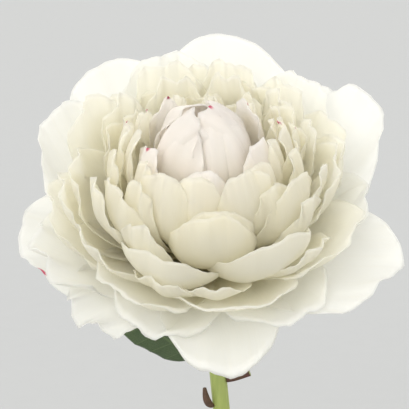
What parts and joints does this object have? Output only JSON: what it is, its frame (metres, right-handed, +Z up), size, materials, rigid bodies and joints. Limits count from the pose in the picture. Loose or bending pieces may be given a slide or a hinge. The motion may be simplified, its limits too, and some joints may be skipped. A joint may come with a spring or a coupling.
{
  "type": "cut peony in a bud vase",
  "caption": "Fully double white peony on a leafy cut stem, nodding forward from a plain teardrop ceramic bud vase with a narrow neck and a flared lip.",
  "frame": {"origin": "middle of the vase's flat foot", "axes": "+Z up; the front of the flower, towards which the bloom nods, faces -Y; +X to the right as seen from the front"},
  "size_m": [0.1492, 0.1076, 0.3162],
  "materials": {
    "vase": "satin off-white glaze over stoneware, bare clay under the foot",
    "stem": "fresh yellow-green stem with fine ribs along it, waxy",
    "sepal": "fresh pale green, waxy, with reddish edges",
    "petal": "thin soft translucent petal, cream at the base and white at the rim",
    "heart_petal": "thin soft translucent petal with a faint blush and crimson flecks at the tip",
    "leaf": "dark green, smooth above with sunk veins, pale and matt below",
    "bark": "dry brown scale and stub, matt"
  },
  "bodies": {
    "root": {"vase": "vase", "stem": "stem", "receptacle": "sepal", "sepal_1": "sepal", "sepal_2": "sepal", "sepal_3": "sepal", "sepal_4": "sepal", "sepal_5": "sepal", "guard_low_petal_1": "petal", "guard_low_petal_2": "petal", "guard_low_petal_3": "petal", "guard_low_petal_4": "petal", "guard_low_petal_5": "petal", "guard_low_petal_6": "petal", "guard_low_petal_7": "petal", "guard_high_petal_1": "petal", "guard_high_petal_2": "petal", "guard_high_petal_3": "petal", "guard_high_petal_4": "petal", "guard_high_petal_5": "petal", "guard_high_petal_6": "petal", "guard_high_petal_7": "petal", "bowl_outer_petal_1": "petal", "bowl_outer_petal_2": "petal", "bowl_outer_petal_3": "petal", "bowl_outer_petal_4": "petal", "bowl_outer_petal_5": "petal", "bowl_outer_petal_6": "petal", "bowl_outer_petal_7": "petal", "bowl_inner_petal_1": "petal", "bowl_inner_petal_2": "petal", "bowl_inner_petal_3": "petal", "bowl_inner_petal_4": "petal", "bowl_inner_petal_5": "petal", "bowl_inner_petal_6": "petal", "cup_outer_petal_1": "petal", "cup_outer_petal_2": "petal", "cup_outer_petal_3": "petal", "cup_outer_petal_4": "petal", "cup_outer_petal_5": "petal", "cup_outer_petal_6": "petal", "cup_inner_petal_1": "petal", "cup_inner_petal_2": "petal", "cup_inner_petal_3": "petal", "cup_inner_petal_4": "petal", "cup_inner_petal_5": "petal", "crown_petal_1": "heart_petal", "crown_petal_2": "heart_petal", "crown_petal_3": "heart_petal", "crown_petal_4": "heart_petal", "crown_petal_5": "heart_petal", "heart_petal_1": "heart_petal", "heart_petal_2": "heart_petal", "heart_petal_3": "heart_petal", "heart_petal_4": "heart_petal", "leaf": "leaf", "cut_stalk": "bark", "dry_scale": "bark"}
  },
  "joints": []
}
